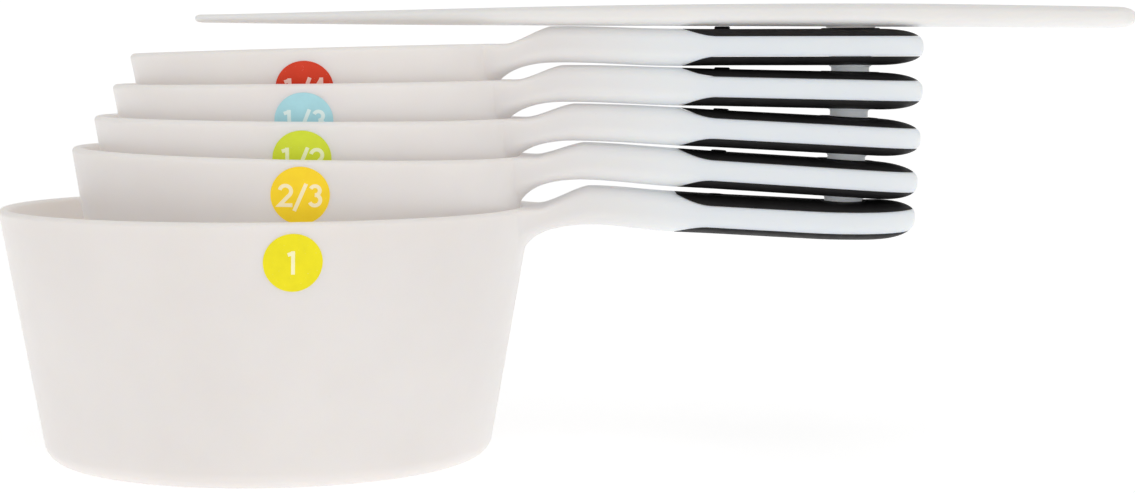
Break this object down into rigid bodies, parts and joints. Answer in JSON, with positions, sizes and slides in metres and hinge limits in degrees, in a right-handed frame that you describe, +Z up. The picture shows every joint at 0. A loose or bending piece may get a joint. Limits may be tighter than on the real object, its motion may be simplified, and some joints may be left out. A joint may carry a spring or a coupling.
{
  "type": "measuring cup set",
  "caption": "Nested plastic measuring cups with soft black grips, round coloured size dots and a flat leveler snapped on top",
  "frame": {"origin": "centre of the flat base of the largest cup, on the table", "axes": "+Z up, +X from the bowls towards the handles, +Y away from the side with the size dots"},
  "size_m": [0.2029, 0.0948, 0.0812],
  "materials": {
    "white_plastic": "satin moulded",
    "soft_grip": "matte, slightly soft",
    "yellow_dot": "printed",
    "amber_dot": "printed",
    "lime_dot": "printed",
    "blue_dot": "printed",
    "red_dot": "printed"
  },
  "bodies": {
    "cup_1": {"cup_1": "white_plastic", "cup_1_top_grip": "soft_grip", "cup_1_bottom_grip": "soft_grip", "cup_1_size_dot": "yellow_dot"},
    "cup_2_3": {"cup_2_3": "white_plastic", "cup_2_3_top_grip": "soft_grip", "cup_2_3_bottom_grip": "soft_grip", "cup_2_3_size_dot": "amber_dot"},
    "cup_1_2": {"cup_1_2": "white_plastic", "cup_1_2_top_grip": "soft_grip", "cup_1_2_bottom_grip": "soft_grip", "cup_1_2_size_dot": "lime_dot"},
    "cup_1_3": {"cup_1_3": "white_plastic", "cup_1_3_top_grip": "soft_grip", "cup_1_3_bottom_grip": "soft_grip", "cup_1_3_size_dot": "blue_dot"},
    "cup_1_4": {"cup_1_4": "white_plastic", "cup_1_4_top_grip": "soft_grip", "cup_1_4_bottom_grip": "soft_grip", "cup_1_4_size_dot": "red_dot"},
    "leveler_stud": {"leveler_stud": "white_plastic"},
    "leveler_blade": {"leveler_blade": "white_plastic"}
  },
  "joints": [
    {"name": "lift_cup_2_3", "type": "slide", "parent": "cup_1", "child": "cup_2_3", "axis": [0.0637, 0, 0.998], "range_m": [0, 0.035]},
    {"name": "lift_cup_1_2", "type": "slide", "parent": "cup_2_3", "child": "cup_1_2", "axis": [0.0532, 0, 0.9986], "range_m": [0, 0.035]},
    {"name": "lift_cup_1_3", "type": "slide", "parent": "cup_1_2", "child": "cup_1_3", "axis": [0.0218, 0, 0.9998], "range_m": [0, 0.025]},
    {"name": "lift_cup_1_4", "type": "slide", "parent": "cup_1_3", "child": "cup_1_4", "axis": [-0.0021, 0, 1], "range_m": [0, 0.02]},
    {"name": "lift_leveler", "type": "slide", "parent": "cup_1_4", "child": "leveler_stud", "axis": [0.0044, 0, 1], "range_m": [0, 0.01]},
    {"name": "swivel_leveler", "type": "hinge", "parent": "leveler_stud", "child": "leveler_blade", "pos_m": [0.10463, 0, 0.07715], "axis": [0.0044, 0, 1], "continuous": true}
  ]
}
